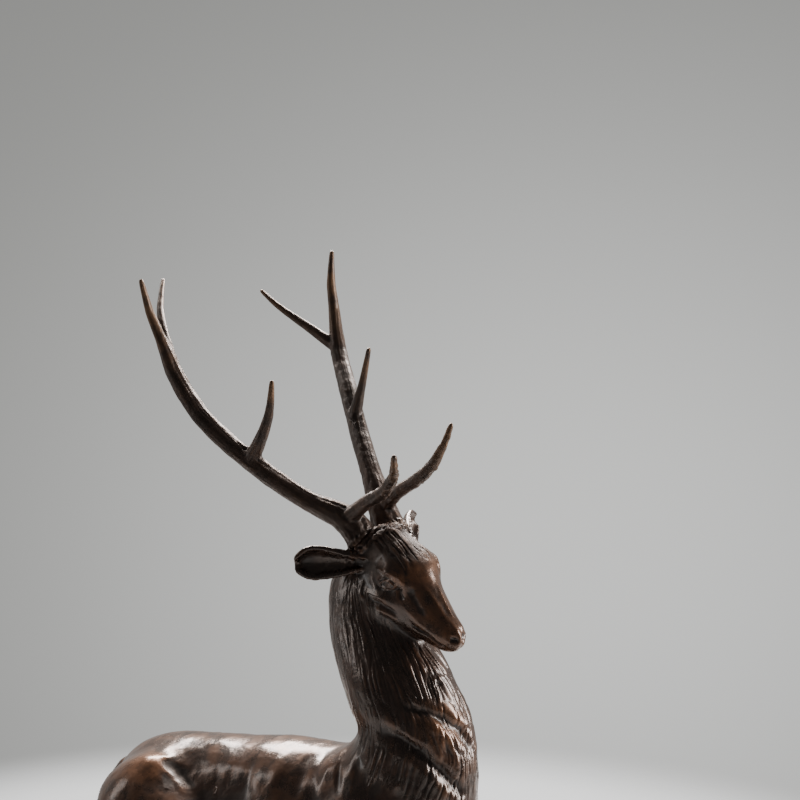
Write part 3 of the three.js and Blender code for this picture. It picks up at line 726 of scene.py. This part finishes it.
def bronze(name, colours, rough, coat, rub_spots=(), dull_spots=(), tips=False):
    """A waxed patina, rubbed on raised edges, round rub_spots (centre, radius, amount) and at the tips.

    Round dull_spots (centre, radius) it has no wax."""
    dark, mid, warm = colours
    material = bpy.data.materials.new(name)
    n = Nodes(material)
    where = n.add("ShaderNodeTexCoord").outputs["Object"]
    proud = n.add("ShaderNodeAttribute", attribute_name="proud").outputs["Fac"]
    cloud = n.noise(where, 6.0, 4.0, 0.6)
    mottle = n.noise(where, 30.0, 4.0, 0.62)
    speck = n.noise(where, 210.0, 3.0, 0.6)

    worn = n.ramp(proud, 0.35, 1.1)
    patchy = n.ramp(n.math("ADD", cloud, n.math("MULTIPLY", mottle, 0.5)), 0.6, 0.95)
    rub = n.math("MULTIPLY", n.math("MULTIPLY", worn, n.ramp(mottle, 0.35, 0.65)), 0.45)
    def spot_at(centre, radius):
        d = n.add("ShaderNodeVectorMath", {0: where, 1: centre}, operation="DISTANCE").outputs["Value"]
        return n.math("SUBTRACT", 1.0, n.ramp(d, radius * 0.2, radius))

    for centre, radius, amount in rub_spots:
        patches = n.ramp(n.math("ADD", mottle, n.math("MULTIPLY", proud, 0.2)), 0.3, 0.7)
        spot = n.math("MULTIPLY", spot_at(centre, radius), patches)
        rub = n.math("ADD", rub, n.math("MULTIPLY", spot, amount), clamp=True)
    if tips:
        tip = n.add("ShaderNodeAttribute", attribute_name="tip").outputs["Fac"]
        rub = n.math("ADD", rub, n.math("MULTIPLY", tip, n.ramp(mottle, 0.3, 0.62)), clamp=True)

    colour = n.mix(patchy, rgb(*dark), rgb(*mid))
    colour = n.mix(n.math("MULTIPLY", rub, 0.8), colour, rgb(*warm))
    hollow = n.ramp(proud, -0.1, -0.9)
    colour = n.mix(n.math("MULTIPLY", hollow, 0.7), colour, rgb(*HOLLOW_COLOUR))
    gloss = n.math("ADD", rough, n.math("MULTIPLY", n.math("SUBTRACT", mottle, 0.5), 0.25))
    gloss = n.math("ADD", gloss, n.math("MULTIPLY", hollow, 0.2), clamp=True)
    for centre, radius in dull_spots:
        dull = spot_at(centre, radius)
        gloss = n.math("ADD", gloss, n.math("MULTIPLY", dull, 0.3), clamp=True)
        coat = n.math("MULTIPLY", coat, n.math("SUBTRACT", 1.0, dull))

    grain = n.math("ADD", n.math("MULTIPLY", speck, 0.5), n.noise(where, 90.0, 3.0, 0.55))
    dents = n.bump(n.noise(where, 44.0, 2.0, 0.5), 0.5, 0.003)
    shader = n.add(
        "ShaderNodeBsdfPrincipled",
        {
            "Base Color": colour,
            "Metallic": 0.4,
            "Roughness": gloss,
            "Specular IOR Level": 0.7,
            "Specular Tint": rgb(1.0, 0.88, 0.80),
            "Normal": n.bump(grain, 0.25, 0.0012, dents),
            "Coat Weight": coat,
            "Coat Tint": rgb(1.0, 0.90, 0.82),
            "Coat Roughness": 0.2,
        },
    )
    n.add("ShaderNodeOutputMaterial", {"Surface": shader.outputs[0]})
    return material


def dressed(obj, material):
    obj.data.materials.clear()
    obj.data.materials.append(material)


def head_point(a, l, u):
    return Vector(to_world(off_head([a, l, u])))


def body_point(x, y, z):
    return Vector(to_world(np.array([x, y, z], float)))


# Stage: the way the camera looks, and the way to its right
VIEW = Vector((-0.5, 0.8660254, 0))
SCREEN_RIGHT = Vector((0.8660254, 0.5, 0))
FLOOR_RADIUS = 1.9
FLOOR_FADE = (1.2, 1.75)


def make_floor():
    """A plain pale floor that fades out into the backdrop."""
    bm = bmesh.new()
    bmesh.ops.create_circle(bm, cap_ends=True, segments=128, radius=FLOOR_RADIUS)
    mesh = bpy.data.meshes.new("floor")
    bm.to_mesh(mesh)
    bm.free()
    obj = bpy.data.objects.new("floor", mesh)
    bpy.context.scene.collection.objects.link(obj)
    material = bpy.data.materials.new("floor")
    n = Nodes(material)
    where = n.add("ShaderNodeTexCoord").outputs["Object"]
    colour = n.mix(n.noise(where, 3.0), rgb(0.40, 0.40, 0.40), rgb(0.42, 0.42, 0.415))
    shader = n.add("ShaderNodeBsdfPrincipled", {"Base Color": colour, "Roughness": 0.75})
    clear = n.add("ShaderNodeBsdfTransparent")
    d = n.add("ShaderNodeVectorMath", {0: where}, operation="LENGTH").outputs["Value"]
    faded = n.ramp(d, *FLOOR_FADE)
    mixed = n.add("ShaderNodeMixShader", {0: faded, 1: shader.outputs[0], 2: clear.outputs[0]})
    n.add("ShaderNodeOutputMaterial", {"Surface": mixed.outputs[0]})
    dressed(obj, material)


def area_light(name, place, target, size, power):
    data = bpy.data.lights.new(name, "AREA")
    data.shape = "RECTANGLE"
    data.size, data.size_y = size
    data.energy = power
    obj = bpy.data.objects.new(name, data)
    bpy.context.scene.collection.objects.link(obj)
    obj.location = place
    obj.rotation_euler = (Vector(target) - Vector(place)).to_track_quat("-Z", "Y").to_euler()


def make_world():
    """A grey backdrop that only the camera sees, with a painted pool of light that makes it brightest low on
    the right of the view, and a grey that lights the bronze from beyond it.
    """
    world = bpy.data.worlds.new("studio")
    bpy.context.scene.world = world
    n = Nodes(world)
    way = n.add("ShaderNodeTexCoord").outputs["Generated"]

    def part_of(direction):
        return n.add("ShaderNodeVectorMath", {0: way, 1: direction}, operation="DOT_PRODUCT").outputs["Value"]

    # The backdrop as the camera sees it: grey with a painted pool of light, brightest low on the right of the
    # view, that lights nothing; every other ray gets the lighting grey below
    across = n.math("POWER", n.math("ABSOLUTE", n.math("SUBTRACT", part_of(SCREEN_RIGHT), 0.13)), 2.0)
    height = n.math("POWER", n.math("ABSOLUTE", n.math("ADD", part_of((0, 0, 1)), 0.12)), 2.0)
    fall = n.math("ADD", n.math("MULTIPLY", across, 7.0), n.math("MULTIPLY", height, 10.0))
    painted_glow = n.math("EXPONENT", n.math("MULTIPLY", fall, -1.0))
    backdrop_with_painted_glow = n.mix(painted_glow, rgb(0.26, 0.26, 0.25), rgb(0.82, 0.825, 0.81))
    cast = n.mix(n.ramp(part_of(VIEW), -0.3, 0.8), rgb(0.09, 0.09, 0.092), rgb(0.42, 0.42, 0.42))
    eye = n.add("ShaderNodeLightPath").outputs["Is Camera Ray"]
    light = n.add("ShaderNodeBackground", {"Color": n.mix(eye, cast, backdrop_with_painted_glow), "Strength": 1.0})
    n.add("ShaderNodeOutputWorld", {"Surface": light.outputs[0]})


def make_camera():
    """The photo's angle: level, and 30 degrees forward of the stag's right side."""
    data = bpy.data.cameras.new("camera")
    data.lens, data.sensor_width = 62.64, 36
    obj = bpy.data.objects.new("camera", data)
    bpy.context.scene.collection.objects.link(obj)
    obj.location = (1.558, -2.2413, 1.067)
    obj.rotation_euler = (math.radians(90), 0, math.radians(30))
    bpy.context.scene.camera = obj


make_camera()
make_world()
make_floor()
area_light("beyond", VIEW * 1.5 + Vector((0, 0, 2.35)), (0, 0, 0.5), (2.4, 0.7), 230)
area_light("right", SCREEN_RIGHT * 2.6 + Vector((0, 0, 1.1)), (0.2, 0, 0.6), (0.7, 1.9), 100)
area_light("left", SCREEN_RIGHT * -2.8 + Vector((0, 0, 1.5)), (0, 0, 0.6), (0.5, 1.8), 12)

stag = cast_stag()
RUBBED = [
    (head_point(28, -30, 26), 0.055, 0.75),
    (head_point(110, -8, 10), 0.075, 0.65),
    (head_point(28, 30, 26), 0.055, 0.6),
    (body_point(-235, -118, 325), 0.09, 0.8),
    (body_point(390, -50, 440), 0.07, 0.6),
]
DULLED = [(head_point(-50, 0, 34), 0.085), (head_point(-95, 0, 0), 0.07)]
dressed(stag, bronze("patina", STAG_COLOURS, 0.28, 0.5, RUBBED, DULLED))
antler_patina = bronze("antler_patina", ANTLER_COLOURS, 0.46, 0.1, tips=True)
for node in ("right_antler", "left_antler"):
    dressed(cast_antler(node), antler_patina)
dressed(cast_base(), bronze("base_patina", BASE_COLOURS, 0.42, 0.4))
